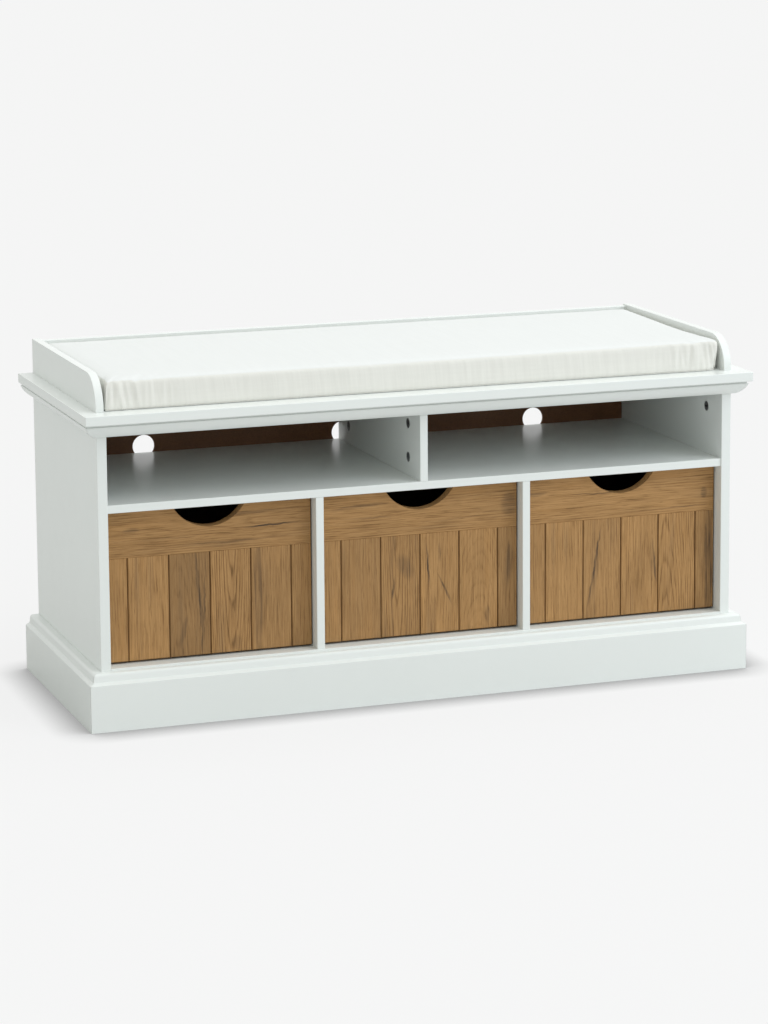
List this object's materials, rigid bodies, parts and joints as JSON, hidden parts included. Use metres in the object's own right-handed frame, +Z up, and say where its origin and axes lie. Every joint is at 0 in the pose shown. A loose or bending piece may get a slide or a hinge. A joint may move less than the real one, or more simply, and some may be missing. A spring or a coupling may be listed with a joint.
{
  "type": "storage bench",
  "caption": "Hallway storage bench: white cabinet with open cubbies over pull-out oak-faced boxes, moulded plinth and cornice, and a loose seat cushion inside a low gallery rail.",
  "frame": {"origin": "centre of the bounding box in plan, on the floor", "axes": "+X to the right along the seat, +Y to the back, +Z up; the front faces -Y"},
  "size_m": [1.04, 0.41, 0.515],
  "materials": {
    "white_lacquer": "satin",
    "oak_front": "matte",
    "box_foil": "matte",
    "hardboard": "matte",
    "raw_board": "matte",
    "beech": "matte",
    "zinc": "satin",
    "steel": "satin",
    "glide_felt": "matte",
    "cover_cloth": "matte",
    "foam": "matte"
  },
  "bodies": {
    "carcass": {"back_panel": "hardboard", "back_panel_screws": "steel", "bottom_panel": "white_lacquer", "cam_bolts": "steel", "cam_locks": "zinc", "carcass_top_panel": "white_lacquer", "cornice_front": "white_lacquer", "cornice_left": "white_lacquer", "cornice_right": "white_lacquer", "gallery_rail_back": "white_lacquer", "gallery_rail_left": "white_lacquer", "gallery_rail_right": "white_lacquer", "lower_divider_left": "white_lacquer", "lower_divider_right": "white_lacquer", "middle_support": "raw_board", "plinth_back_rail": "raw_board", "plinth_blocks": "raw_board", "plinth_front": "white_lacquer", "plinth_left": "white_lacquer", "plinth_right": "white_lacquer", "rail_screws": "steel", "shelf": "white_lacquer", "side_panel_left": "white_lacquer", "side_panel_right": "white_lacquer", "top_board": "white_lacquer", "top_board_screws": "steel", "upper_divider": "white_lacquer", "wooden_dowels": "beech"},
    "box_left": {"box_left_back": "box_foil", "box_left_base": "hardboard", "box_left_dowels": "beech", "box_left_front": "oak_front", "box_left_glides": "glide_felt", "box_left_screws": "steel", "box_left_side_a": "box_foil", "box_left_side_b": "box_foil"},
    "box_middle": {"box_middle_back": "box_foil", "box_middle_base": "hardboard", "box_middle_dowels": "beech", "box_middle_front": "oak_front", "box_middle_glides": "glide_felt", "box_middle_screws": "steel", "box_middle_side_a": "box_foil", "box_middle_side_b": "box_foil"},
    "box_right": {"box_right_back": "box_foil", "box_right_base": "hardboard", "box_right_dowels": "beech", "box_right_front": "oak_front", "box_right_glides": "glide_felt", "box_right_screws": "steel", "box_right_side_a": "box_foil", "box_right_side_b": "box_foil"},
    "cushion": {"cushion_cover": "cover_cloth", "cushion_foam": "foam"}
  },
  "joints": [
    {"name": "box_left_slide", "type": "slide", "parent": "carcass", "child": "box_left", "axis": [0, -1, 0], "range_m": [0, 0.28]},
    {"name": "box_middle_slide", "type": "slide", "parent": "carcass", "child": "box_middle", "axis": [0, -1, 0], "range_m": [0, 0.28]},
    {"name": "box_right_slide", "type": "slide", "parent": "carcass", "child": "box_right", "axis": [0, -1, 0], "range_m": [0, 0.28]},
    {"name": "cushion_lift", "type": "slide", "parent": "carcass", "child": "cushion", "axis": [0, 0, 1], "range_m": [0, 0.12]}
  ]
}
